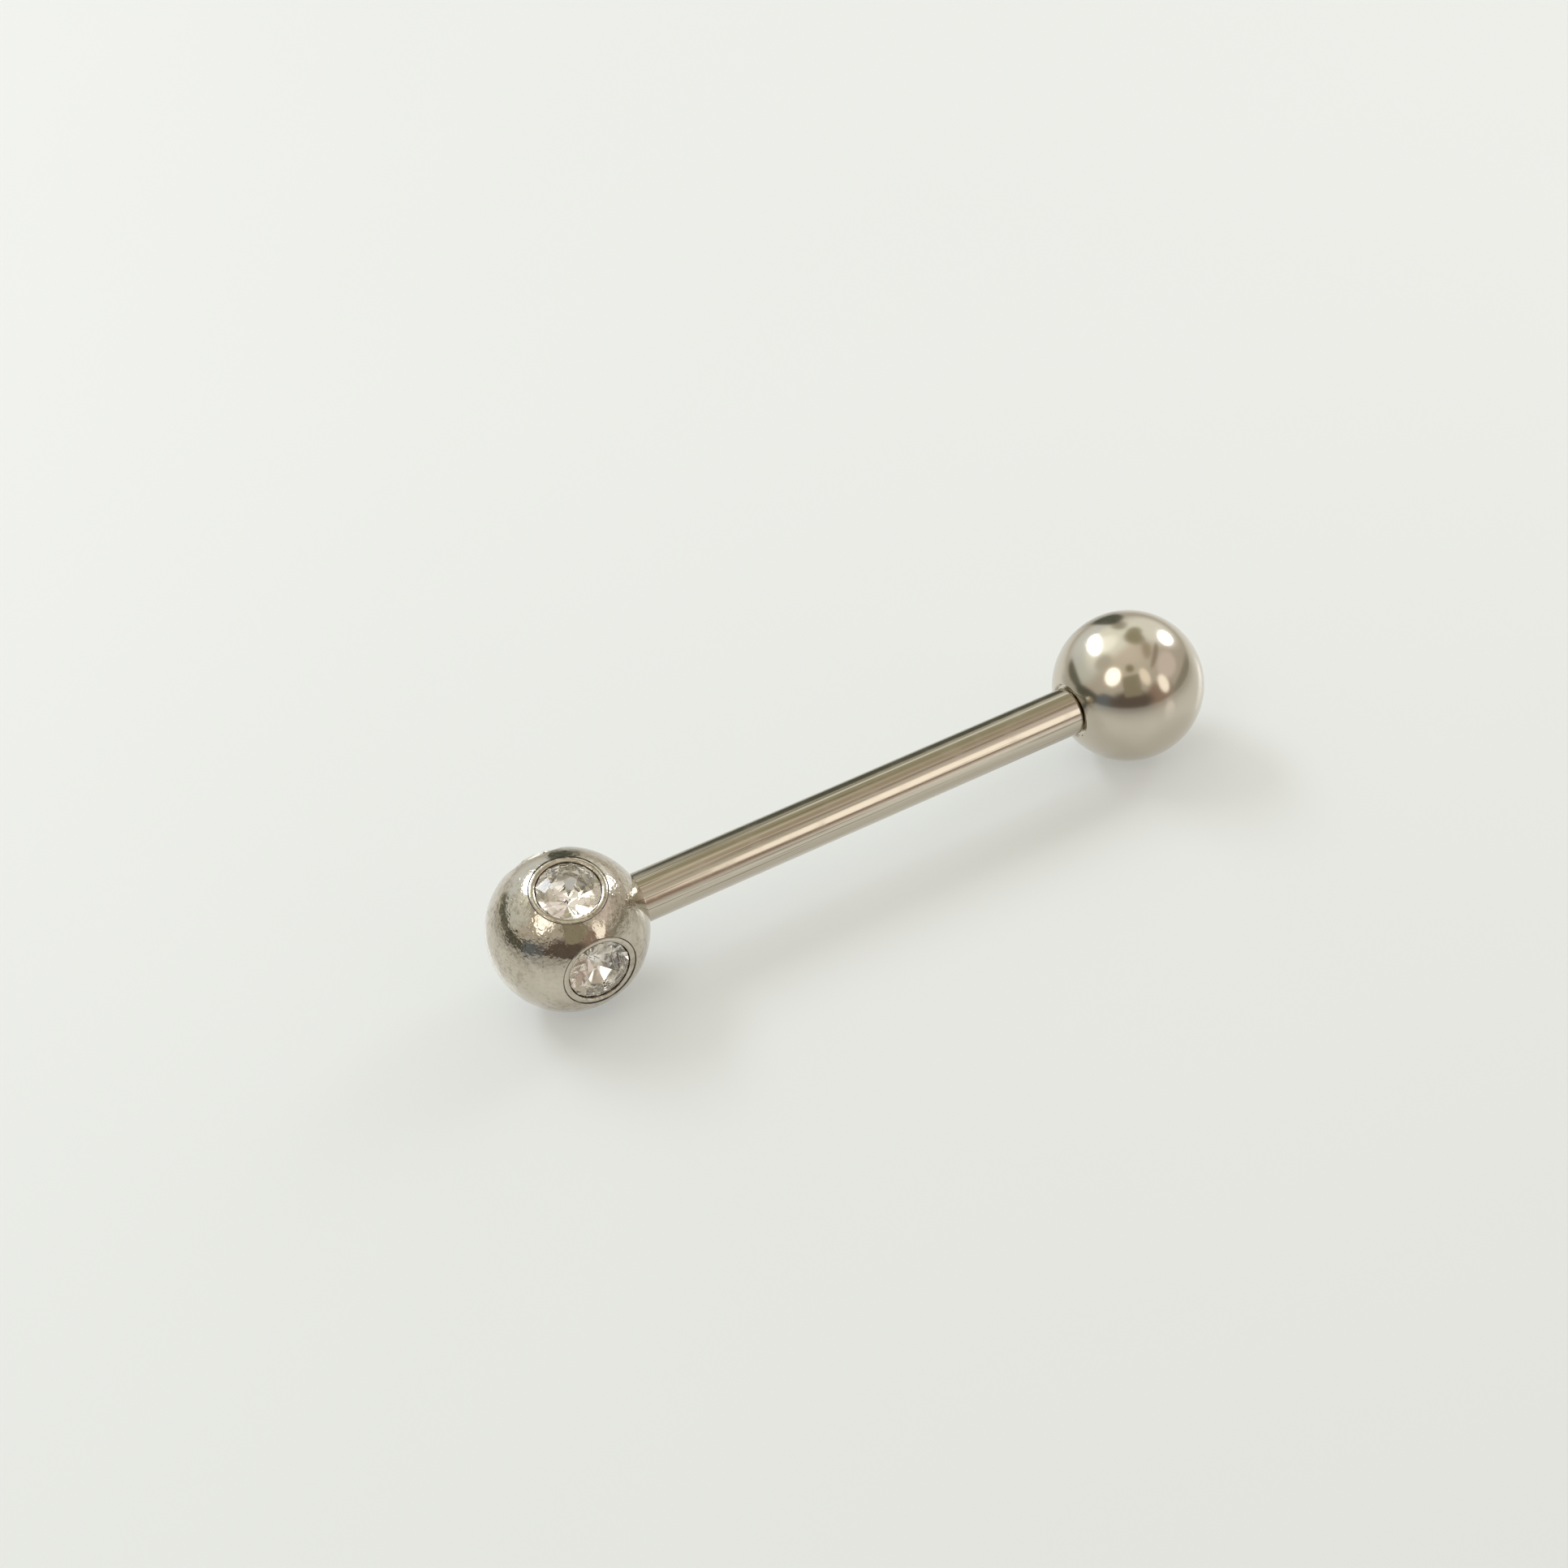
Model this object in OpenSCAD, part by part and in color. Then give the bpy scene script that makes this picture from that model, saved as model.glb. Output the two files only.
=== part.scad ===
// Straight tongue barbell: a round steel bar with a ball screwed on at each end.
// One ball carries five round crystals, sunk in a ring round it square to the bar.
// The bar lies along X, 16 mm clear between the balls, and the balls rest on Z = 0.

/* [Bar] */
// Diameter of the bar
bar_d = 1.6; // [1.4:0.1:2]
// Length of bar that shows between the two balls
bar_clear_length = 16; // [10:0.5:22]
// Chamfer on the edge of each shoulder of the bar
shoulder_chamfer = 0.1; // [0.04:0.01:0.16]

/* [Threaded ends] */
// Diameter of the post that each ball screws on, over its thread
post_d = 1.1; // [0.8:0.05:1.2]
// Length of each post from its shoulder
post_length = 2.4; // [1.6:0.1:2.8]
// Chamfer on the tip of each post
post_chamfer = 0.12; // [0.05:0.01:0.2]
// Radial clearance of a post in its ball
post_clearance = 0.03; // [0.02:0.01:0.06]
// Free depth of the hole beyond the tip of the post
hole_overrun = 0.3; // [0.1:0.1:0.6]
// Gap between the shoulder of the bar and the bottom of its recess
shoulder_gap = 0.02; // [0.01:0.01:0.05]
// Depth that the shoulder of the bar sinks into the jewelled ball
jewelled_sink = 0.16; // [0.1:0.01:0.25]
// Depth that the shoulder of the bar sinks into the plain ball
plain_sink = 0.1; // [0.02:0.01:0.2]
// Radial gap round the bar at the mouth of the jewelled ball
jewelled_mouth_gap = 0.03; // [0.02:0.01:0.1]
// Radial gap round the bar at the mouth of the plain ball
plain_mouth_gap = 0.08; // [0.02:0.01:0.12]
// Countersink on the mouth of the plain ball
plain_mouth_chamfer = 0.08; // [0.04:0.01:0.15]

/* [Balls] */
// Diameter of the jewelled ball
jewelled_ball_d = 5; // [4.6:0.1:6]
// Diameter of the plain ball
plain_ball_d = 5; // [4:0.1:6]

/* [Crystals] */
// Diameter of a crystal at its girdle
stone_d = 1.95; // [1.6:0.05:2.1]
// Width of the ring of metal round each crystal
seat_ring = 0.18; // [0.12:0.02:0.24]
// Chamfer on the inner edge of that ring
ring_chamfer = 0.05; // [0.02:0.01:0.08]
// Depth of a crystal's girdle below the ring
stone_sink = 0.04; // [0.01:0.01:0.06]
// Gap round each crystal in its pocket
stone_gap = 0.03; // [0.02:0.01:0.05]
// Height of the crown above the girdle
crown_height = 0.27; // [0.2:0.01:0.3]
// Width of the table across its corners
table_d = 1; // [0.8:0.05:1.2]
// Thickness of the girdle
girdle_height = 0.06; // [0.03:0.01:0.1]
// Depth of the pavilion below the girdle
pavilion_depth = 0.8; // [0.6:0.05:0.95]
// Width of the flat at the bottom of a pocket
pocket_floor_d = 0.3; // [0.1:0.05:0.5]
// Degrees from the top of the ball to the first crystal, towards -Y, as the barbell lies
first_stone_angle = 21; // [0:1:35]

/* [Hidden] */
$fn = 96;
STEEL = [0.74, 0.72, 0.68];
CRYSTAL = [0.86, 0.9, 0.92, 0.7];

// How far each crystal is turned in its pocket, which is by chance on the real one
STONE_TURNS = [12, 34, 5, 22, 40];
stone_count = len(STONE_TURNS);
stone_pitch = 360 / stone_count;

// A crystal is a round brilliant: eight mains, with half as many degrees between main and star
MAINS = 8;
main_pitch = 360 / MAINS;
half_pitch = main_pitch / 2;
// Where the tip of a star lies from the table (0) to the girdle (1), and a lower half from culet to girdle
STAR_SHARE = 0.5;
LOWER_SHARE = 0.65;

bar_r = bar_d / 2;
post_r = post_d / 2;
jewelled_r = jewelled_ball_d / 2;
plain_r = plain_ball_d / 2;
stone_r = stone_d / 2;
table_r = table_d / 2;
seat_r = stone_r + stone_gap + seat_ring;
pocket_r = stone_r + stone_gap;
pocket_floor_r = pocket_floor_d / 2;

// Distance from the centre of a ball to the circle where the bar enters it
jewelled_entry = sqrt(jewelled_r * jewelled_r - bar_r * bar_r);
plain_entry = sqrt(plain_r * plain_r - bar_r * bar_r);
// Distance from the centre of the jewelled ball to the flat of a seat, whose rim is on the sphere
seat_z = sqrt(jewelled_r * jewelled_r - seat_r * seat_r);

// The whole length is centred on X = 0
overall_length = jewelled_r + jewelled_entry + bar_clear_length + plain_entry + plain_r;
jewelled_x = jewelled_r - overall_length / 2;
plain_x = overall_length / 2 - plain_r;
jewelled_shoulder_x = jewelled_x + jewelled_entry - jewelled_sink;
plain_shoulder_x = plain_x - plain_entry + plain_sink;

// Height of the bar's axis above the surface that the larger ball lies on
axis_z = max(plain_r, jewelled_r);

function ring(r, z, n, first) =
    [for (i = [0 : n - 1]) [r * cos(first + 360 * i / n), r * sin(first + 360 * i / n), z]];

// Height of a main facet above its girdle edge, at a radius half a pitch off the facet's middle line
function main_z(r, inner_r, height) = height * (stone_r - r * cos(half_pitch)) / (stone_r - inner_r);

// A stepped shaft along +X from x = 0: rows of [x, radius]
module shaft(rows) {
    rotate([0, 90, 0])
        rotate_extrude()
            polygon(concat([[0, rows[0][0]]], [for (row = rows) [row[1], row[0]]],
                [[0, rows[len(rows) - 1][0]]]));
}

// Local +Z leaves the jewelled ball through the middle of crystal k, counted from 1
module at_stone(k) {
    translate([jewelled_x, 0, axis_z])
        rotate([first_stone_angle + (k - 1) * stone_pitch, 0, 0])
            children();
}

// The bar with a shoulder and a plain post at each end
module bar() {
    jewelled_tip_x = jewelled_shoulder_x - post_length;
    plain_tip_x = plain_shoulder_x + post_length;
    color(STEEL)
        translate([0, 0, axis_z])
            shaft([
                [jewelled_tip_x, post_r - post_chamfer],
                [jewelled_tip_x + post_chamfer, post_r],
                [jewelled_shoulder_x, post_r],
                [jewelled_shoulder_x, bar_r - shoulder_chamfer],
                [jewelled_shoulder_x + shoulder_chamfer, bar_r],
                [plain_shoulder_x - shoulder_chamfer, bar_r],
                [plain_shoulder_x, bar_r - shoulder_chamfer],
                [plain_shoulder_x, post_r],
                [plain_tip_x - post_chamfer, post_r],
                [plain_tip_x, post_r - post_chamfer]
            ]);
}

// What is cut from a ball for its post and shoulder: x = 0 is the ball's centre and +X leaves by the mouth
module screw_hole(entry, ball_r, sink, mouth_gap, mouth_chamfer) {
    mouth_r = bar_r + mouth_gap;
    recess_x = entry - sink - shoulder_gap;
    rim_x = sqrt(ball_r * ball_r - mouth_r * mouth_r);
    hole_r = post_r + post_clearance;
    shaft([
        [recess_x + shoulder_gap - post_length - hole_overrun, hole_r],
        [recess_x, hole_r],
        [recess_x, mouth_r],
        [rim_x - mouth_chamfer, mouth_r],
        [rim_x + ball_r, mouth_r + mouth_chamfer + ball_r]
    ]);
}

// What is cut from the jewelled ball for one crystal: a flat spot face, a round pocket and a cone below it
module seat_cut() {
    wall_depth = stone_sink + girdle_height + stone_gap;
    floor_depth = wall_depth + pavilion_depth;
    translate([0, 0, seat_z])
        rotate_extrude()
            polygon([
                [0, -floor_depth],
                [pocket_floor_r, -floor_depth],
                [pocket_r, -wall_depth],
                [pocket_r, -ring_chamfer],
                [pocket_r + ring_chamfer, 0],
                [seat_r + seat_ring, 0],
                [seat_r + seat_ring, jewelled_r],
                [0, jewelled_r]
            ]);
}

module jewelled_ball() {
    color(STEEL)
        difference() {
            translate([jewelled_x, 0, axis_z])
                sphere(r = jewelled_r);
            translate([jewelled_x, 0, axis_z])
                screw_hole(jewelled_entry, jewelled_r, jewelled_sink, jewelled_mouth_gap, 0);
            for (k = [1 : stone_count])
                at_stone(k)
                    seat_cut();
        }
}

module plain_ball() {
    color(STEEL)
        translate([plain_x, 0, axis_z])
            difference() {
                sphere(r = plain_r);
                mirror([1, 0, 0])
                    screw_hole(plain_entry, plain_r, plain_sink, plain_mouth_gap, plain_mouth_chamfer);
            }
}

// A round brilliant with its girdle's top edge at z = 0 and its table up
module brilliant() {
    star_r = table_r * cos(half_pitch) * (1 - STAR_SHARE) + stone_r * STAR_SHARE;
    star_z = main_z(star_r, table_r, crown_height);
    lower_r = stone_r * LOWER_SHARE;
    lower_z = -girdle_height - main_z(lower_r, 0, pavilion_depth);
    stars = MAINS;
    tops = stars + MAINS;
    bottoms = tops + 2 * MAINS;
    lowers = bottoms + 2 * MAINS;
    culet = lowers + MAINS;
    points = concat(
        ring(table_r, crown_height, MAINS, 0),
        ring(star_r, star_z, MAINS, half_pitch),
        ring(stone_r, 0, 2 * MAINS, 0),
        ring(stone_r, -girdle_height, 2 * MAINS, 0),
        ring(lower_r, lower_z, MAINS, half_pitch),
        [[0, 0, -girdle_height - pavilion_depth]]
    );
    table_face = [[for (i = [MAINS - 1 : -1 : 0]) i]];
    star_faces = [for (i = [0 : MAINS - 1]) [i, (i + 1) % MAINS, stars + i]];
    kite_faces = [for (i = [0 : MAINS - 1])
        [i, stars + i, tops + 2 * i, stars + (i + MAINS - 1) % MAINS]];
    upper_faces = [for (i = [0 : MAINS - 1], side = [0, 1])
        [stars + i, tops + (2 * i + side + 1) % (2 * MAINS), tops + 2 * i + side]];
    girdle_faces = [for (i = [0 : 2 * MAINS - 1])
        [tops + i, tops + (i + 1) % (2 * MAINS), bottoms + (i + 1) % (2 * MAINS), bottoms + i]];
    lower_faces = [for (i = [0 : MAINS - 1], side = [0, 1])
        [lowers + i, bottoms + 2 * i + side, bottoms + (2 * i + side + 1) % (2 * MAINS)]];
    main_faces = [for (i = [0 : MAINS - 1])
        [bottoms + 2 * i, lowers + i, culet, lowers + (i + MAINS - 1) % MAINS]];
    polyhedron(points, concat(table_face, star_faces, kite_faces, upper_faces,
        girdle_faces, lower_faces, main_faces), convexity = 2);
}

module stone(k) {
    color(CRYSTAL)
        at_stone(k)
            translate([0, 0, seat_z - stone_sink])
                rotate([0, 0, STONE_TURNS[k - 1]])
                    brilliant();
}

bar();
jewelled_ball();
plain_ball();
stone(1);  // stone_1
stone(2);  // stone_2
stone(3);  // stone_3
stone(4);  // stone_4
stone(5);  // stone_5
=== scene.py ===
import math
import bpy
from mathutils import Matrix, Vector


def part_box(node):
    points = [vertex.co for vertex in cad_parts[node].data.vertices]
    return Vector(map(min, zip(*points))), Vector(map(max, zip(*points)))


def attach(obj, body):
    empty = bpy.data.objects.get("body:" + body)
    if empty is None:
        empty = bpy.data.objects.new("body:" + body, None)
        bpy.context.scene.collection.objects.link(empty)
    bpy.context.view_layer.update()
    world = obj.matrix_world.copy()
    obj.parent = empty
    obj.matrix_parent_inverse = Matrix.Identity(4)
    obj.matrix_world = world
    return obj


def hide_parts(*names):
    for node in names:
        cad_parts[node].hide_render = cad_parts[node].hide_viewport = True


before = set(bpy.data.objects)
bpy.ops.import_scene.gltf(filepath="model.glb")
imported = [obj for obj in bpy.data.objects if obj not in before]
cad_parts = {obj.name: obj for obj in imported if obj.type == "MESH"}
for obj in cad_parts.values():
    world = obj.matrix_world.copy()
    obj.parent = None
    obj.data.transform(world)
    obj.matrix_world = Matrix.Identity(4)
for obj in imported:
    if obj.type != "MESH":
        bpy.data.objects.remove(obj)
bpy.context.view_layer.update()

# Camera. The photograph looks down on the barbell from beside its jewelled end, close up with a
# long lens, held a few degrees off level.
MM = 0.001
CAMERA_AZIMUTH = -25.189
CAMERA_ELEVATION = 36.394
CAMERA_ROLL = -7.536
CAMERA_DISTANCE = 77.1 * MM
# How far the camera is shifted to its own right and up from where it would aim at the bar's middle
AIM_RIGHT = -2.43 * MM
AIM_UP = 0.56 * MM
FOCAL_PIXELS = 3000
PICTURE_PIXELS = 1932
SENSOR_WIDTH = 36
NEAREST = 5 * MM
FARTHEST = 10000 * MM

low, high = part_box("bar")
middle = (low + high) / 2
barbell_middle = Vector((0, middle.y, middle.z))


def toward(azimuth, elevation):
    """The direction at an azimuth from +Y towards +X, and an elevation, in degrees."""
    a = math.radians(azimuth)
    e = math.radians(elevation)
    return Vector((math.sin(a) * math.cos(e), math.cos(a) * math.cos(e), math.sin(e)))


def turned_to(direction, roll):
    """The turn that puts +Z along a direction with +Y upwards, then rolls about it."""
    upright = direction.to_track_quat("Z", "Y")
    return upright @ Matrix.Rotation(math.radians(roll), 4, "Z").to_quaternion()


back = toward(180 - CAMERA_AZIMUTH, CAMERA_ELEVATION)
camera = bpy.data.objects.new("camera", bpy.data.cameras.new("camera"))
bpy.context.scene.collection.objects.link(camera)
camera.rotation_mode = "QUATERNION"
camera.rotation_quaternion = turned_to(back, CAMERA_ROLL)
right = camera.rotation_quaternion @ Vector((1, 0, 0))
up = camera.rotation_quaternion @ Vector((0, 1, 0))
camera.location = barbell_middle + back * CAMERA_DISTANCE + right * AIM_RIGHT + up * AIM_UP
camera.data.sensor_width = SENSOR_WIDTH
camera.data.lens = FOCAL_PIXELS / PICTURE_PIXELS * SENSOR_WIDTH
camera.data.clip_start = NEAREST
camera.data.clip_end = FARTHEST
bpy.context.scene.camera = camera
bpy.context.scene.view_settings.view_transform = "Standard"


# Floor. A plain sheet of off-white card. Its glow is painted fill light, which keeps the
# shadows pale and is a little brighter where the steel mirrors it. It is faintly uneven, and painted
# shade makes its tone fall off a little towards the camera. Its polish shows only in the steel, which
# mirrors it at a slant, where it is darker.
class Field:
    """A value that varies over a surface or a room. Arithmetic on it adds Math nodes."""

    def __init__(self, finish, socket):
        self.finish = finish
        self.socket = socket

    def math(self, operation, *values):
        return self.finish.node("ShaderNodeMath", {"operation": operation}, dict(enumerate(values)))

    def __add__(self, other):
        return self.math("ADD", self, other)

    def __radd__(self, other):
        return self.math("ADD", other, self)

    def __sub__(self, other):
        return self.math("SUBTRACT", self, other)

    def __rsub__(self, other):
        return self.math("SUBTRACT", other, self)

    def __mul__(self, other):
        return self.math("MULTIPLY", self, other)

    def __rmul__(self, other):
        return self.math("MULTIPLY", other, self)

    def __truediv__(self, other):
        return self.math("DIVIDE", self, other)

    def __rtruediv__(self, other):
        return self.math("DIVIDE", other, self)

    def __gt__(self, other):
        return self.math("GREATER_THAN", self, other)

    def __lt__(self, other):
        return self.math("LESS_THAN", self, other)


class Finish:
    """A material, or the light of the room, with its node tree."""

    def __init__(self, owner):
        owner.use_nodes = True
        self.owner = owner
        self.tree = owner.node_tree
        self.tree.nodes.clear()

    def node(self, kind, settings, sockets, output=0):
        """Adds a node, sets it, fills or links its sockets, and returns one of its outputs."""
        made = self.tree.nodes.new(kind)
        for name, value in settings.items():
            if name == "stops":
                ramp = made.color_ramp
                while len(ramp.elements) < len(value):
                    ramp.elements.new(1)
                for element, (place, colour) in zip(ramp.elements, value):
                    element.position = place
                    element.color = (*colour, 1)
            else:
                setattr(made, name, value)
        for name, value in sockets.items():
            socket = made.inputs[name]
            if isinstance(value, Field):
                self.tree.links.new(value.socket, socket)
            elif socket.type == "RGBA":
                socket.default_value = (*value, 1)
            else:
                socket.default_value = value
        return Field(self, made.outputs[output]) if made.outputs else None

    def mix(self, share, first, second):
        """A colour that goes from the first to the second as the share goes from 0 to 1."""
        # A Mix node has numbers, vectors and colours under the same names, so sockets go by place
        return self.node("ShaderNodeMix", {"data_type": "RGBA"}, {0: share, 6: first, 7: second}, 2)

    def surface(self, sockets):
        """Ends a material with a Principled shader that has these sockets filled or linked."""
        shader = self.node("ShaderNodeBsdfPrincipled", {}, sockets)
        self.node("ShaderNodeOutputMaterial", {}, {"Surface": shader})


FLOOR_SIDE = 1200 * MM
FLOOR_MOTTLE = 40
FLOOR_MOTTLE_DETAIL = 3
CARD_ROUGHNESS = 0.6
# The shares of the card's tone taken by the painted shade towards the camera and by the mottle
CARD_PAINTED_SHADE_SHARE = 0.8
CARD_MOTTLE_SHARE = 0.2
CARD_NEAR = (0.362, 0.374, 0.371)
CARD_FAR = (0.42, 0.43, 0.436)
# The card's glow is painted fill light, first as seen directly, then as the steel mirrors it
CARD_PAINTED_FILL_GLOW = (0.34, 0.342, 0.322)
MIRRORED_PAINTED_FILL_GLOW = (0.38, 0.38, 0.36)
CARD_POLISH_ROUGHNESS = 0.15
CARD_POLISH_IOR = 1.32
FALL_OFF_NEAR = -40 * MM
FALL_OFF_FAR = 45 * MM

bpy.ops.object.select_all(action="DESELECT")
bpy.ops.mesh.primitive_plane_add(size=FLOOR_SIDE)
floor = bpy.context.object
floor.name = "floor"
card = Finish(bpy.data.materials.new("off_white_card"))
place = card.node("ShaderNodeTexCoord", {}, {}, "Object")
mottle = card.node(
    "ShaderNodeTexNoise",
    {},
    {"Vector": place, "Scale": FLOOR_MOTTLE, "Detail": FLOOR_MOTTLE_DETAIL},
)
distance = card.node(
    "ShaderNodeVectorMath",
    {"operation": "DOT_PRODUCT"},
    {0: place, 1: toward(-CAMERA_AZIMUTH, 0)},
    "Value",
)
# Painted shade: the card's tone is darker towards the camera
painted_fall_off = card.node(
    "ShaderNodeMapRange",
    {"interpolation_type": "SMOOTHSTEP"},
    {"Value": distance, "From Min": FALL_OFF_NEAR, "From Max": FALL_OFF_FAR},
)
farness = CARD_PAINTED_SHADE_SHARE * painted_fall_off + CARD_MOTTLE_SHARE * mottle
card_colour = card.mix(farness, CARD_NEAR, CARD_FAR)
seen_directly = card.node("ShaderNodeLightPath", {}, {}, "Is Camera Ray")
# Painted fill light: the card glows, a little more where it is mirrored
card.surface(
    {
        "Base Color": card_colour,
        "Roughness": CARD_ROUGHNESS,
        "Emission Color": card.mix(seen_directly, MIRRORED_PAINTED_FILL_GLOW, CARD_PAINTED_FILL_GLOW),
        "Emission Strength": 1,
        "Coat Weight": 1 - seen_directly,
        "Coat Roughness": CARD_POLISH_ROUGHNESS,
        "Coat IOR": CARD_POLISH_IOR,
    }
)
floor.data.materials.append(card.owner)

# Studio light. Two cool soft boxes and a warm one light the barbell, inside a pale warm tent with
# darker cards low round it and a grey card round the lens, which the polished steel mirrors.

# How high up the tent, from straight below (0) to straight above (1), and its colour there
TENT = (
    (0.00, (0.70, 0.70, 0.66)),
    (0.50, (0.60, 0.56, 0.48)),
    (0.63, (0.62, 0.58, 0.50)),
    (0.82, (0.66, 0.61, 0.52)),
    (0.95, (0.80, 0.74, 0.63)),
    (1.00, (0.90, 0.82, 0.70)),
)
# Azimuth, elevation, half width and half height in degrees, softness of the edge, colour. Each
# hangs in front of those above it.
PANELS = (
    (-52, 34, 24, 26, 0.8, (0.78, 0.81, 0.76)),
    (-8, 26, 26, 20, 0.8, (0.86, 0.90, 0.89)),
    (62, 36, 26, 27, 0.6, (1.06, 1.07, 1.0)),
    (-6, 60, 42, 25, 0.6, (1.16, 1.18, 1.07)),
    (-18, 60, 14, 12, 0.8, (1.50, 1.52, 1.42)),
    (-74, 54, 12, 13, 0.8, (0.66, 0.63, 0.54)),
    (128, 33, 20, 14, 0.5, (0.88, 0.78, 0.72)),
    (116, 64, 14, 6, 0.8, (0.50, 0.42, 0.32)),
    (125, 52, 22, 3.5, 0.5, (0.40, 0.34, 0.27)),
    (50, 57, 8, 14, 0.7, (0.46, 0.43, 0.32)),
    (58, 66, 12, 12, 0.7, (0.42, 0.39, 0.27)),
    (-152, 60, 6, 6, 0.8, (0.33, 0.29, 0.18)),
    (165, 12, 22, 16, 0.5, (0.38, 0.28, 0.22)),
    (-46, 9, 22, 6.5, 0.5, (0.18, 0.18, 0.14)),
    (-82, 5, 24, 9, 0.5, (0.12, 0.12, 0.09)),
    (-112, 6, 16, 12, 0.5, (0.18, 0.20, 0.22)),
    (-150, 8, 32, 18, 0.5, (0.15, 0.12, 0.10)),
    (118, 2, 30, 9, 0.5, (0.36, 0.33, 0.27)),
    (27, 39, 7, 11, 0.9, (0.46, 0.44, 0.36)),
    (24, 14, 9, 19, 0.4, (0.12, 0.13, 0.10)),
    (154, 20, 8, 13, 0.3, (1.62, 1.52, 1.38)),
    (179, 42, 7, 13, 0.3, (1.30, 1.18, 1.0)),
)
BACKDROP = (0.84, 0.85, 0.83)

world = bpy.data.worlds.new("room")
bpy.context.scene.world = world
room = Finish(world)
direction = room.node("ShaderNodeTexCoord", {}, {}, "Generated")


def along(axis):
    """How far the looked-in direction goes along an axis."""
    return room.node(
        "ShaderNodeVectorMath",
        {"operation": "DOT_PRODUCT"},
        {0: direction, 1: axis},
        "Value",
    )


height = along(Vector((0, 0, 1)))
room_colour = room.node("ShaderNodeValToRGB", {"stops": TENT}, {"Fac": height * 0.5 + 0.5})
for azimuth, elevation, half_width, half_height, softness, colour in PANELS:
    ahead = toward(azimuth, elevation)
    across = toward(azimuth + 90, 0)
    sideways = along(across) / math.sin(math.radians(half_width))
    upwards = along(across.cross(ahead)) / math.sin(math.radians(half_height))
    off_middle = sideways * sideways + upwards * upwards
    panel = room.node(
        "ShaderNodeMapRange",
        {"interpolation_type": "SMOOTHSTEP"},
        {"Value": off_middle, "From Min": 1 + softness, "From Max": 1 - softness},
    )
    room_colour = room.mix(panel * (along(ahead) > 0), room_colour, colour)
seen_directly = room.node("ShaderNodeLightPath", {}, {}, "Is Camera Ray")
room_colour = room.mix(seen_directly, room_colour, BACKDROP)
room_light = room.node("ShaderNodeBackground", {}, {"Color": room_colour})
room.node("ShaderNodeOutputWorld", {}, {"Surface": room_light})

LAMP_DISTANCE = 800 * MM
# Name, azimuth, elevation, roll, half width and half height in degrees, brightness, colour
SOFT_BOXES = (
    ("window_box", -20, 43, 34, 18, 7.5, 9.2, (0.84, 0.90, 1.0)),
    ("side_box", 80, 28, -48, 13, 7.5, 5, (0.94, 0.97, 1.0)),
    ("warm_box", -114, 45, 0, 12, 14, 1.75, (1.0, 0.96, 0.9)),
)

for name, azimuth, elevation, roll, half_width, half_height, brightness, colour in SOFT_BOXES:
    data = bpy.data.lights.new(name, "AREA")
    data.shape = "ELLIPSE"
    data.size = 2 * LAMP_DISTANCE * math.tan(math.radians(half_width))
    data.size_y = 2 * LAMP_DISTANCE * math.tan(math.radians(half_height))
    # Its power is its brightness times its area, an ellipse's, times pi
    lamp_area = math.pi / 4 * data.size * data.size_y
    data.energy = brightness * math.pi * lamp_area
    data.color = colour
    lamp = bpy.data.objects.new(name, data)
    bpy.context.scene.collection.objects.link(lamp)
    out = toward(azimuth, elevation)
    lamp.location = barbell_middle + out * LAMP_DISTANCE
    lamp.rotation_mode = "QUATERNION"
    lamp.rotation_quaternion = turned_to(out, roll)
    lamp.visible_camera = False

# The card round the lens is so near that each ball mirrors it in another place
LENS_CARD_AZIMUTH = -161.5
LENS_CARD_ELEVATION = 35
LENS_CARD_DISTANCE = 68 * MM
LENS_CARD_WIDTH = 34 * MM
LENS_CARD_HEIGHT = 40 * MM
LENS_CARD_TONE = (0.37, 0.33, 0.24)

out = toward(LENS_CARD_AZIMUTH, LENS_CARD_ELEVATION)
bpy.ops.object.select_all(action="DESELECT")
bpy.ops.mesh.primitive_plane_add(
    size=1,
    location=barbell_middle + out * LENS_CARD_DISTANCE,
    rotation=turned_to(out, 0).to_euler(),
)
lens_card = bpy.context.object
lens_card.name = "lens_card"
lens_card.scale = (LENS_CARD_WIDTH, LENS_CARD_HEIGHT, 1)
lens_card.visible_camera = False
dim_grey = Finish(bpy.data.materials.new("dim_grey_card"))
grey_shader = dim_grey.node("ShaderNodeEmission", {}, {"Color": LENS_CARD_TONE})
dim_grey.node("ShaderNodeOutputMaterial", {}, {"Surface": grey_shader})
lens_card.data.materials.append(dim_grey.owner)

# Bar. A straight length of round surgical steel, drawn and then polished lengthwise, which leaves
# fine streaks. Each end is turned down to a post, and the ball screws on it up to the shoulder.
BAR_SIDES = 192
BAR_POST_RADIUS = 0.55 * MM
BAR_POST_LENGTH = 2.4 * MM
BAR_TIP_CHAMFER = 0.12 * MM
BAR_SHOULDER_CHAMFER = 0.1 * MM
BAR_EDGE = 0.008 * MM
BAR_EDGE_STEPS = 2
SMOOTH_ANGLE = math.radians(30)
WELD = 0.0001 * MM
STEEL_COLOUR = (0.575, 0.527, 0.446)
STEEL_TARNISH = (0.36, 0.31, 0.24)

low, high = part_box("bar")
bar_radius = (high.z - low.z) / 2
bar_middle = (low + high) / 2
half_bar = (high.x - low.x) / 2
half_shank = half_bar - BAR_POST_LENGTH
ALONG_BAR = Vector((1, 0, 0))
LAID_ALONG_BAR = (0, math.pi / 2, 0)


def lathe(middle, axis, rows):
    """Extrudes what is selected along an axis, through rows of (distance from the middle, radius)."""
    for (here, radius), (there, next_radius) in zip(rows, rows[1:]):
        bpy.ops.mesh.extrude_region_move(TRANSFORM_OT_translate={"value": axis * (there - here)})
        growth = next_radius / radius
        bpy.ops.transform.resize(value=[growth] * 3, center_override=middle + axis * there)


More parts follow.
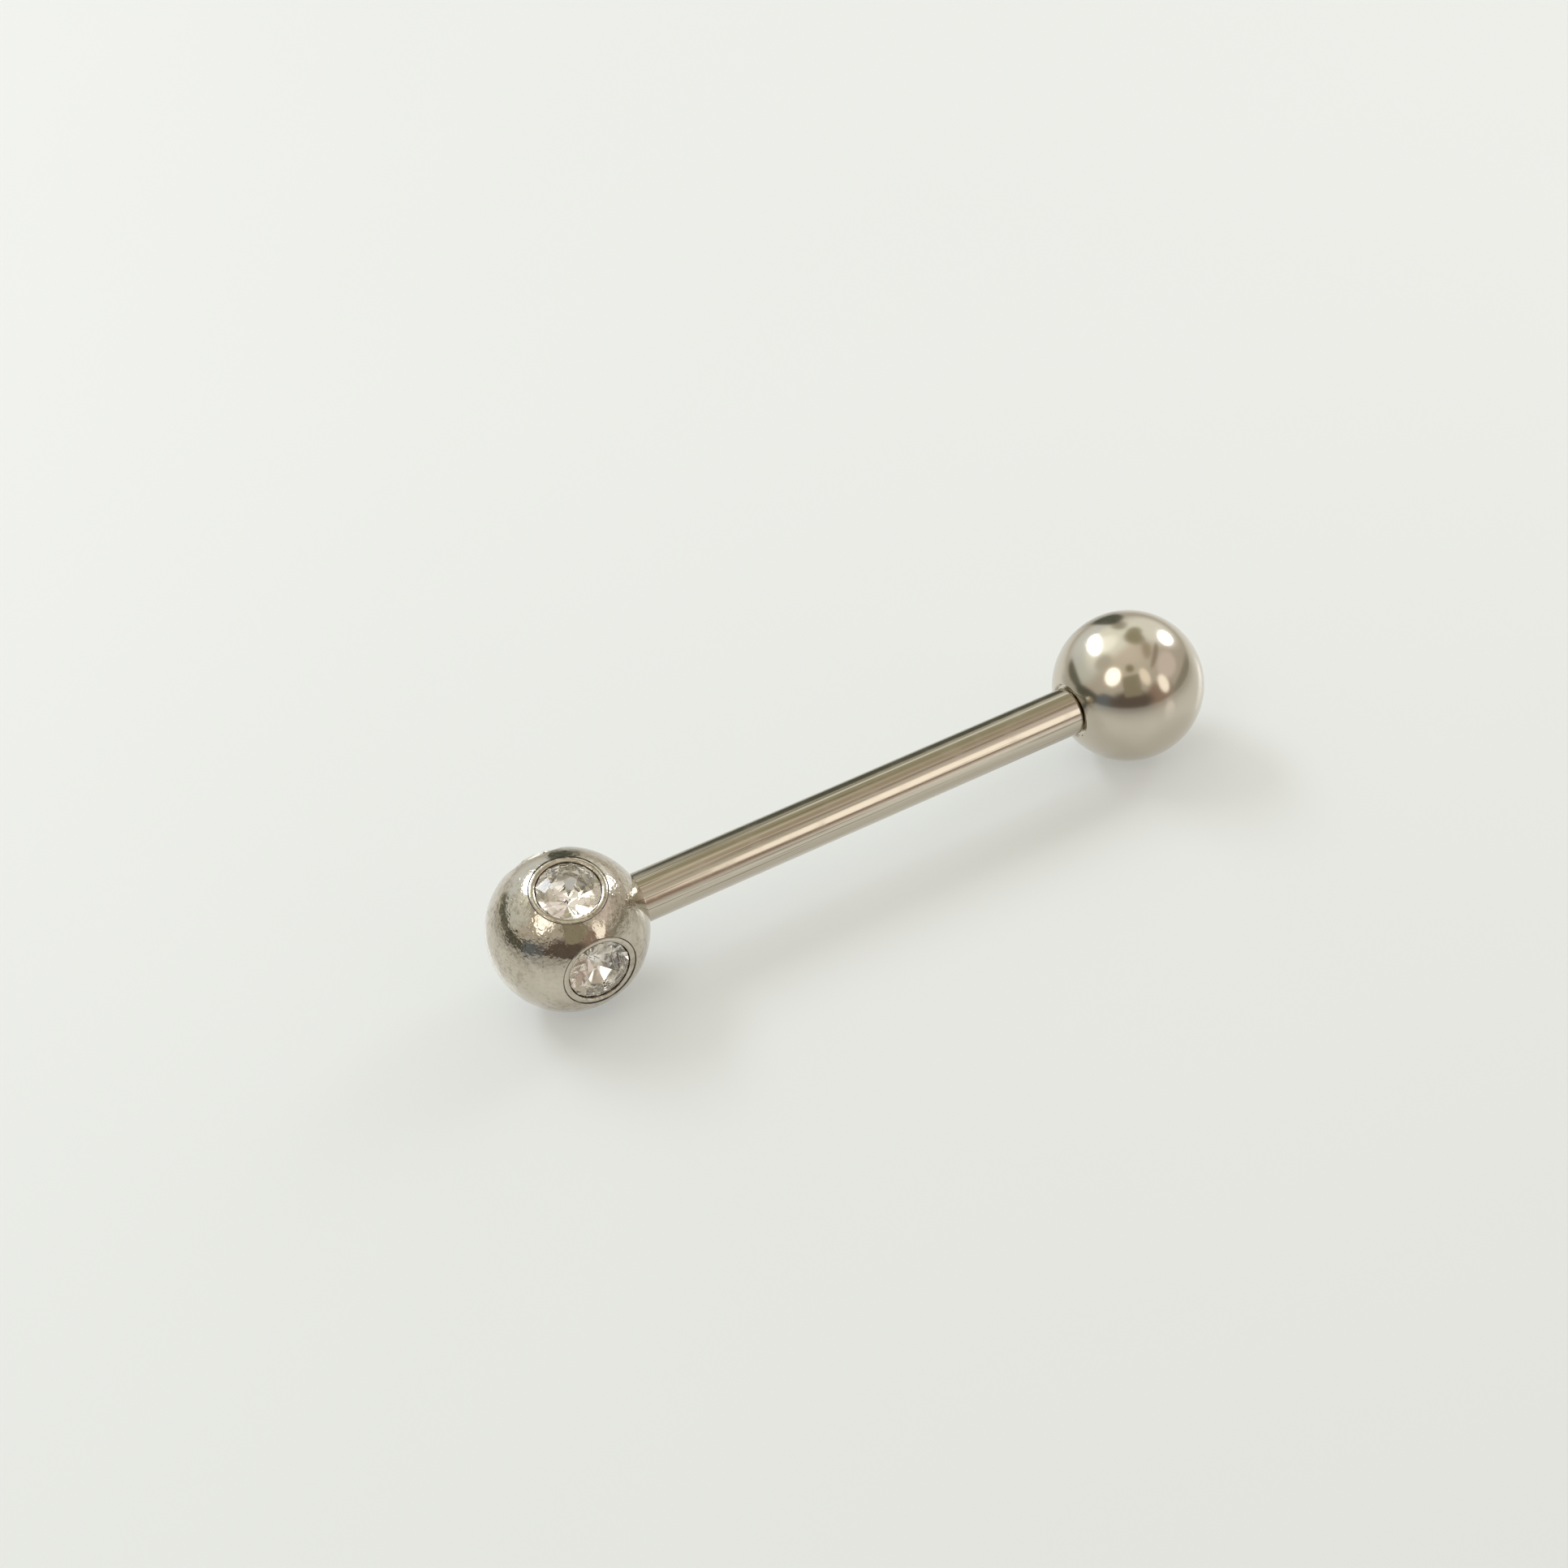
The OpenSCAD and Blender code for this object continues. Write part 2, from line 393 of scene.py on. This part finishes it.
def close_up(name, node):
    """Ends the edit of a piece: one closed skin that faces outwards, in the place of its node."""
    piece = bpy.context.object
    piece.name = name
    bpy.ops.mesh.select_all(action="SELECT")
    bpy.ops.mesh.remove_doubles(threshold=WELD)
    bpy.ops.mesh.normals_make_consistent(inside=False)
    bpy.ops.object.mode_set(mode="OBJECT")
    bpy.ops.object.shade_smooth_by_angle(angle=SMOOTH_ANGLE)
    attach(piece, "root")
    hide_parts(node)
    return piece


shoulder_radius = bar_radius - BAR_SHOULDER_CHAMFER
tip_radius = BAR_POST_RADIUS - BAR_TIP_CHAMFER
half_profile = (
    (half_bar, tip_radius),
    (half_bar - BAR_TIP_CHAMFER, BAR_POST_RADIUS),
    (half_shank, BAR_POST_RADIUS),
    (half_shank, shoulder_radius),
    (half_shank - BAR_SHOULDER_CHAMFER, bar_radius),
)
bar_rows = [(-x, radius) for x, radius in half_profile] + list(reversed(half_profile))
bpy.ops.object.select_all(action="DESELECT")
bpy.ops.mesh.primitive_circle_add(
    vertices=BAR_SIDES,
    radius=tip_radius,
    fill_type="NGON",
    location=bar_middle - ALONG_BAR * half_bar,
    rotation=LAID_ALONG_BAR,
)
bpy.ops.object.transform_apply(location=True, rotation=True, scale=True)
bpy.ops.object.mode_set(mode="EDIT")
lathe(bar_middle, ALONG_BAR, bar_rows)
bar = close_up("polished_bar", "bar")
edges = bar.modifiers.new("broken_edges", "BEVEL")
edges.width = BAR_EDGE
edges.segments = BAR_EDGE_STEPS
edges.limit_method = "ANGLE"
edges.angle_limit = SMOOTH_ANGLE
bpy.ops.object.modifier_apply(modifier=edges.name)


def start_finish(name):
    """A finish, and the place on the piece in millimetres."""
    finish = Finish(bpy.data.materials.new(name))
    metres = finish.node("ShaderNodeTexCoord", {}, {}, "Object")
    place = finish.node("ShaderNodeVectorMath", {"operation": "SCALE"}, {0: metres, "Scale": 1 / MM})
    return finish, place


def noise(finish, place, per_mm, detail):
    """Noise with so many marks to a millimetre, and finer detail in steps."""
    return finish.node("ShaderNodeTexNoise", {}, {"Vector": place, "Scale": per_mm, "Detail": detail})


def drawn_noise(finish, place, per_mm, detail):
    """Noise with a number of marks to a millimetre for each axis, for marks that run one way."""
    stretched = finish.node("ShaderNodeMapping", {}, {"Vector": place, "Scale": per_mm})
    return noise(finish, stretched, 1, detail)


def ramp(finish, value, start, end):
    """Goes from 0 to 1, smoothly, as a value goes from start to end."""
    return finish.node(
        "ShaderNodeMapRange",
        {"interpolation_type": "SMOOTHSTEP"},
        {"Value": value, "From Min": start, "From Max": end},
    )


def patches(finish, place, per_mm, detail, start, end):
    """Patches where the noise is high: they start at one height of it and are full at the other."""
    return ramp(finish, noise(finish, place, per_mm, detail), start, end)


def between(share, first, last):
    """Goes from the first number to the last as the share goes from 0 to 1."""
    return first + (last - first) * share


def end_steel(finish, piece, colour, roughness, relief, depth):
    """Joins colour, roughness and a relief of a given depth in one metal shader, and coats the piece."""
    normal = finish.node("ShaderNodeBump", {}, {"Height": relief, "Distance": depth, "Strength": 1})
    finish.surface({"Base Color": colour, "Metallic": 1, "Roughness": roughness, "Normal": normal})
    piece.data.materials.clear()
    piece.data.materials.append(finish.owner)


# The colour of the dark lines, a painted reflection of dark things round the bar
BAR_PAINTED_DARK_LINES = (0.28, 0.235, 0.18)
BAR_ROUGHNESS = 0.12
BAR_SMUDGE_ROUGHNESS = 0.08
BAR_LINE_ROUGHNESS = 0.08
# Streaks to a millimetre, along the bar and across it, and how much finer detail they have
WIDE_STREAKS = ((0.05, 3.5, 3.5), 2)
FINE_STREAKS = ((0.12, 16, 16), 3)
# Patches to a millimetre, their finer detail, and the heights of the noise where they start and fill
BAR_SMUDGES = (1.6, 4, 0.45, 0.75)
# Where along the bar, in millimetres, the wear of the jewelled end and the painted shade beside the
# jewelled ball start and are full
BAR_WEAR_AND_SHADE = (-2, -7)
# The heights of the fine streaks where a dark line, a painted reflection of dark things round the bar,
# starts and fills
DARK_LINES = (0.56, 0.66)
# How dark the painted lines are, first at the plain end and then at the jewelled end, where painted
# shade deepens them
DARK_LINE_SHARES = (0.6, 1)
# The relief, and the streaks' shares of it. The fine ones have the second share at the worn end.
BAR_RELIEF = 0.003 * MM
WIDE_STREAK_SHARE = 0.6
FINE_STREAK_SHARES = (0.1, 0.4)

bar_finish, place = start_finish("lengthwise_polished_steel")
wide_streaks = drawn_noise(bar_finish, place, *WIDE_STREAKS)
fine_streaks = drawn_noise(bar_finish, place, *FINE_STREAKS)
along_bar = bar_finish.node("ShaderNodeSeparateXYZ", {}, {"Vector": place}, "X")
worn_and_shaded_end = ramp(bar_finish, along_bar, *BAR_WEAR_AND_SHADE)
dark_lines = ramp(bar_finish, fine_streaks, *DARK_LINES)
smudges = patches(bar_finish, place, *BAR_SMUDGES)
# Painted reflection in the dark lines, with painted shade deepening them towards the jewelled ball
bar_painted_dark = dark_lines * between(worn_and_shaded_end, *DARK_LINE_SHARES)
bar_colour = bar_finish.mix(bar_painted_dark, STEEL_COLOUR, BAR_PAINTED_DARK_LINES)
bar_roughness = BAR_ROUGHNESS + BAR_SMUDGE_ROUGHNESS * smudges + BAR_LINE_ROUGHNESS * dark_lines
streaks = wide_streaks * WIDE_STREAK_SHARE
streaks += fine_streaks * between(worn_and_shaded_end, *FINE_STREAK_SHARES)
end_steel(bar_finish, bar, bar_colour, bar_roughness, streaks, BAR_RELIEF)

# Jewelled ball. A polished steel bead, drilled and tapped for the bar, with five seats cut in a ring
# round it. Each is bored for a crystal, and a rounded rim stands round the bore inside a fine groove.
# Handling has left dents, fine scratches and smudges.
BALL_SEGMENTS = 192
BALL_RINGS = 120
STONES = 5
FIRST_STONE_ANGLE = 21
STONE_RADIUS = 0.975 * MM
STONE_GAP = 0.03 * MM
SEAT_RING = 0.18 * MM
SEAT_GROOVE_WIDTH = 0.04 * MM
SEAT_GROOVE_DEPTH = 0.031 * MM
SEAT_BEAD_HEIGHT = 0.025 * MM
SEAT_BEAD_STEPS = 8
STONE_SINK = 0.04 * MM
GIRDLE_HEIGHT = 0.06 * MM
PAVILION_DEPTH = 0.8 * MM
POCKET_FLOOR_RADIUS = 0.15 * MM
POST_CLEARANCE = 0.03 * MM
HOLE_OVERRUN = 0.3 * MM
SHOULDER_GAP = 0.02 * MM
JEWELLED_MOUTH_GAP = 0.03 * MM
JEWELLED_SINK = 0.16 * MM

# The seats cut the jewelled ball short of its radius, which is read from the plain ball
low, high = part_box("plain_ball")
ball_radius = (high.z - low.z) / 2
low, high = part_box("jewelled_ball")
jewelled_middle = Vector((low.x + ball_radius, bar_middle.y, bar_middle.z))
hole_radius = BAR_POST_RADIUS + POST_CLEARANCE
pocket_radius = STONE_RADIUS + STONE_GAP
seat_radius = pocket_radius + SEAT_RING
seat_height = math.sqrt(ball_radius ** 2 - seat_radius ** 2)


def start_ball(middle):
    """A fine sphere with its poles on the bar's axis, left in edit mode."""
    bpy.ops.object.select_all(action="DESELECT")
    bpy.ops.mesh.primitive_uv_sphere_add(
        segments=BALL_SEGMENTS,
        ring_count=BALL_RINGS,
        radius=ball_radius,
        location=middle,
        rotation=LAID_ALONG_BAR,
    )
    bpy.ops.object.transform_apply(location=True, rotation=True, scale=True)
    bpy.ops.object.mode_set(mode="EDIT")


def cut_off(middle, axis, distance):
    """Cuts away what lies past a plane square to an axis, and leaves the edge of the cut selected."""
    bpy.ops.mesh.select_all(action="SELECT")
    bpy.ops.mesh.bisect(
        plane_co=middle + axis * distance, plane_no=axis, clear_outer=True, threshold=WELD
    )


def drill(middle, axis, mouth_rows, recess_distance, mouth_radius):
    """Opens a ball's mouth and the hole for the bar's post behind it, down to a closed end."""
    cut_off(middle, axis, mouth_rows[0][0])
    hole_end = recess_distance + SHOULDER_GAP - BAR_POST_LENGTH - HOLE_OVERRUN
    hole_rows = [
        (recess_distance, mouth_radius),
        (recess_distance, hole_radius),
        (hole_end, hole_radius),
    ]
    lathe(middle, axis, mouth_rows + hole_rows)
    bpy.ops.mesh.edge_face_add()


def seat_axis(number):
    """The way a crystal faces, counted round the ball from the first one, towards -Y."""
    turn = math.radians(FIRST_STONE_ANGLE + number * 360 / STONES)
    return Vector((0, -math.sin(turn), math.cos(turn)))


# A seat's rows from the sphere inwards: the groove, the rounded rim, the bore and its cone
groove_rim = seat_radius + SEAT_GROOVE_WIDTH / 2
bead_rim = seat_radius - SEAT_GROOVE_WIDTH / 2
bead_middle = (bead_rim + pocket_radius) / 2
half_bead = (bead_rim - pocket_radius) / 2
seat_rows = [
    (math.sqrt(ball_radius ** 2 - groove_rim ** 2), groove_rim),
    (seat_height - SEAT_GROOVE_DEPTH, seat_radius),
]
for step in range(SEAT_BEAD_STEPS + 1):
    outwards = 1 - 2 * step / SEAT_BEAD_STEPS
    bead_height = seat_height - SEAT_BEAD_HEIGHT * outwards ** 2
    seat_rows.append((bead_height, bead_middle + half_bead * outwards))
wall_bottom = seat_height - STONE_SINK - GIRDLE_HEIGHT - STONE_GAP
seat_rows += [(wall_bottom, pocket_radius), (wall_bottom - PAVILION_DEPTH, POCKET_FLOOR_RADIUS)]
start_ball(jewelled_middle)
for number in range(STONES):
    cut_off(jewelled_middle, seat_axis(number), seat_rows[0][0])
    lathe(jewelled_middle, seat_axis(number), seat_rows)
    bpy.ops.mesh.edge_face_add()

mouth_radius = bar_radius + JEWELLED_MOUTH_GAP
entry_distance = math.sqrt(ball_radius ** 2 - bar_radius ** 2)
drill(
    jewelled_middle,
    ALONG_BAR,
    [(math.sqrt(ball_radius ** 2 - mouth_radius ** 2), mouth_radius)],
    entry_distance - JEWELLED_SINK - SHOULDER_GAP,
    mouth_radius,
)
jewelled_ball = close_up("worn_jewelled_ball", "jewelled_ball")

BALL_ROUGHNESS = 0.07
BALL_SMUDGE_ROUGHNESS = 0.10
BALL_SCRATCH_ROUGHNESS = 0.08
# Marks to a millimetre, and how much finer detail they have
WAVES = (1.1, 2)
RIPPLES = (3.5, 2)
GRAIN = (9, 1)
# The same, and the heights of the noise where a patch starts and fills
RUBBED = (0.8, 2, 0.38, 0.58)
PITS = (8, 1, 0.68, 0.75)
SPECKLE = (7, 2, 0.5, 0.62)
SMUDGES = (1.3, 5, 0.48, 0.72)
GRIME = (3, 4, 0.45, 0.65)
# The turn of each set of scratches in radians, then how many to a millimetre along each axis
SCRATCHES = (
    (0.5, (0.7, 14, 14)),
    (-0.8, (16, 0.8, 16)),
    (0.2, (15, 15, 0.7)),
)
SCRATCH_DETAIL = 1
SCRATCH_HEIGHTS = (0.66, 0.74)
# How dark each kind of mark is, and the shares of the speckle that sound and rubbed metal have
PIT_TARNISH = 0.6
GRIME_TARNISH = 0.3
SPECKLE_TARNISH = 0.45
SPECKLE_SHARES = (0.3, 1)
# The relief, and each mark's share of it. Where there are two, the second is for rubbed metal.
BALL_RELIEF = 0.01 * MM
WAVE_SHARE = 0.6
RIPPLE_SHARES = (0.4, 1.3)
GRAIN_SHARES = (0.2, 0.9)
PIT_SHARE = 0.2
SCRATCH_SHARE = 0.06

ball_finish, place = start_finish("worn_polished_steel")
waves = noise(ball_finish, place, *WAVES)
ripples = noise(ball_finish, place, *RIPPLES)
grain = noise(ball_finish, place, *GRAIN)
rubbed = patches(ball_finish, place, *RUBBED)
pits = patches(ball_finish, place, *PITS)
speckle = patches(ball_finish, place, *SPECKLE)
scratch_sets = []
for turn, per_mm in SCRATCHES:
    tilt = (turn, turn, turn)
    tilted = ball_finish.node("ShaderNodeMapping", {}, {"Vector": place, "Rotation": tilt})
    marks = drawn_noise(ball_finish, tilted, per_mm, SCRATCH_DETAIL)
    scratch_sets.append(ramp(ball_finish, marks, *SCRATCH_HEIGHTS))
scratches = scratch_sets[0] + scratch_sets[1] + scratch_sets[2]
smudges = patches(ball_finish, place, *SMUDGES)
grime = patches(ball_finish, place, *GRIME)
speckle_share = between(rubbed, *SPECKLE_SHARES)
tarnish = PIT_TARNISH * pits + GRIME_TARNISH * grime * rubbed
tarnish += SPECKLE_TARNISH * speckle * speckle_share
ball_colour = ball_finish.mix(tarnish, STEEL_COLOUR, STEEL_TARNISH)
ball_roughness = BALL_ROUGHNESS + BALL_SMUDGE_ROUGHNESS * smudges
ball_roughness += BALL_SCRATCH_ROUGHNESS * scratches
relief = waves * WAVE_SHARE
relief += ripples * between(rubbed, *RIPPLE_SHARES)
relief += grain * between(rubbed, *GRAIN_SHARES)
relief -= pits * PIT_SHARE
relief -= scratches * SCRATCH_SHARE
end_steel(ball_finish, jewelled_ball, ball_colour, ball_roughness, relief, BALL_RELIEF)

# Painted shade darkens the grooves and lines the pockets, broken by paler patches
GROOVE_PAINTED_SHADE = (0.06, 0.055, 0.045)
GROOVE_SHADE_PALE_PATCH = (0.25, 0.23, 0.19)
GROOVE_SHADE_ROUGHNESS = 0.5
# Patches to a millimetre, finer detail, and the heights of the noise where they start and fill
GROOVE_SHADE_PATCHES = (3, 2, 0.45, 0.65)

groove_shade, place = start_finish("painted_groove_shade")
groove_shade_colour = groove_shade.mix(patches(groove_shade, place, *GROOVE_SHADE_PATCHES), GROOVE_PAINTED_SHADE, GROOVE_SHADE_PALE_PATCH)
groove_shade.surface({"Base Color": groove_shade_colour, "Roughness": GROOVE_SHADE_ROUGHNESS})
# The faces of the grooves and pockets take the painted shade
groove_shade_index = len(jewelled_ball.data.materials)
jewelled_ball.data.materials.append(groove_shade.owner)
for facet in jewelled_ball.data.polygons:
    from_middle = facet.center - jewelled_middle
    for number in range(STONES):
        height = from_middle.dot(seat_axis(number))
        spread = (from_middle - seat_axis(number) * height).length
        in_groove = wall_bottom < height < seat_height and bead_rim < spread < groove_rim - WELD
        in_pocket = height > 0 and spread < pocket_radius + WELD
        if in_groove or in_pocket:
            facet.material_index = groove_shade_index

# Plain ball. A mirror-polished steel bead, drilled and tapped like the other, with a countersunk
# mouth. It screws on the far end of the bar.
PLAIN_MOUTH_GAP = 0.08 * MM
PLAIN_MOUTH_CHAMFER = 0.08 * MM
PLAIN_SINK = 0.1 * MM

low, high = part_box("plain_ball")
plain_middle = Vector((high.x - ball_radius, bar_middle.y, bar_middle.z))
mouth_radius = bar_radius + PLAIN_MOUTH_GAP
countersink_distance = math.sqrt(ball_radius ** 2 - mouth_radius ** 2) - PLAIN_MOUTH_CHAMFER
# The 45 degree countersink meets the sphere where distance - radius stays the same
slant = countersink_distance - mouth_radius
rim_distance = (slant + math.sqrt(2 * ball_radius ** 2 - slant ** 2)) / 2
start_ball(plain_middle)
drill(
    plain_middle,
    -ALONG_BAR,
    [(rim_distance, rim_distance - slant), (countersink_distance, mouth_radius)],
    entry_distance - PLAIN_SINK - SHOULDER_GAP,
    mouth_radius,
)
plain_ball = close_up("mirror_plain_ball", "plain_ball")

MIRROR_ROUGHNESS = 0.14
MIRROR_SMUDGE_ROUGHNESS = 0.05
# Marks to a millimetre and finer detail, and for patches the heights where they start and fill
MIRROR_WAVES = (1, 2)
MIRROR_SMUDGES = (1.1, 4, 0.5, 0.75)
MIRROR_SPECKS = (14, 1, 0.77, 0.82)
SPECK_TARNISH = 0.4
MIRROR_RELIEF = 0.0015 * MM

mirror_finish, place = start_finish("mirror_polished_steel")
waves = noise(mirror_finish, place, *MIRROR_WAVES)
smudges = patches(mirror_finish, place, *MIRROR_SMUDGES)
specks = patches(mirror_finish, place, *MIRROR_SPECKS)
mirror_colour = mirror_finish.mix(specks * SPECK_TARNISH, STEEL_COLOUR, STEEL_TARNISH)
mirror_roughness = MIRROR_ROUGHNESS + MIRROR_SMUDGE_ROUGHNESS * smudges
end_steel(mirror_finish, plain_ball, mirror_colour, mirror_roughness, waves, MIRROR_RELIEF)

# Crystals. Five clear lead-glass stones, each cut as a round brilliant with a flat table and
# silvered behind. They are pressed and glued into their pockets, each turned by chance.
GLASS_IOR = 1.56
GLASS_COLOUR = (0.99, 0.99, 0.98)
GLASS_ROUGHNESS = 0.01
FILM_COLOUR = (0.9, 0.87, 0.8)
FILM_ROUGHNESS = 0.03
FILM_SHARE = 0.2
FOIL_COLOUR = (0.98, 0.97, 0.95)
FOIL_TARNISH = (0.78, 0.75, 0.70)
FOIL_ROUGHNESS = 0.04
FOIL_DULL_ROUGHNESS = 0.06
# Patches to a millimetre, finer detail, and the heights of the noise where they start and fill
FILM = (3, 3, 0.5, 0.8)
FOIL_DULLED = (1.7, 1, 0.53, 0.57)
FACET_ANGLE = math.radians(1)

glass, place = start_finish("clear_cut_crystal")
film = patches(glass, place, *FILM)
glass.surface(
    {
        "Base Color": glass.mix(film * FILM_SHARE, GLASS_COLOUR, FILM_COLOUR),
        "Roughness": GLASS_ROUGHNESS + FILM_ROUGHNESS * film,
        "IOR": GLASS_IOR,
        "Transmission Weight": 1,
    }
)
foil, place = start_finish("silvered_back")
dulled = patches(foil, place, *FOIL_DULLED)
foil.surface(
    {
        "Base Color": foil.mix(dulled, FOIL_COLOUR, FOIL_TARNISH),
        "Metallic": 1,
        "Roughness": FOIL_ROUGHNESS + FOIL_DULL_ROUGHNESS * dulled,
    }
)

# Light goes on through the crystals and off their silvered backs for many turns before it is lost
LIGHT_TURNS = 16
CRYSTAL_TURNS = 14
bpy.context.scene.cycles.max_bounces = LIGHT_TURNS
bpy.context.scene.cycles.glossy_bounces = CRYSTAL_TURNS
bpy.context.scene.cycles.transmission_bounces = CRYSTAL_TURNS

girdle_bottom = seat_height - STONE_SINK - GIRDLE_HEIGHT
for number in range(STONES):
    node = f"stone_{number + 1}"
    stone = bpy.data.objects.new(f"crystal_{number + 1}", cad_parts[node].data.copy())
    bpy.context.scene.collection.objects.link(stone)
    stone.data.materials.clear()
    stone.data.materials.append(glass.owner)
    stone.data.materials.append(foil.owner)
    bpy.ops.object.select_all(action="DESELECT")
    bpy.context.view_layer.objects.active = stone
    stone.select_set(True)
    bpy.ops.object.mode_set(mode="EDIT")
    bpy.ops.mesh.select_all(action="SELECT")
    bpy.ops.mesh.remove_doubles(threshold=WELD)
    bpy.ops.mesh.dissolve_limited(angle_limit=FACET_ANGLE)
    bpy.ops.mesh.normals_make_consistent(inside=False)
    bpy.ops.object.mode_set(mode="OBJECT")
    bpy.ops.object.shade_flat()
    # The facets behind the girdle have the second material, the silvering
    for facet in stone.data.polygons:
        behind = (facet.center - jewelled_middle).dot(seat_axis(number)) < girdle_bottom - WELD
        facet.material_index = 1 if behind else 0
    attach(stone, "root")
    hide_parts(node)
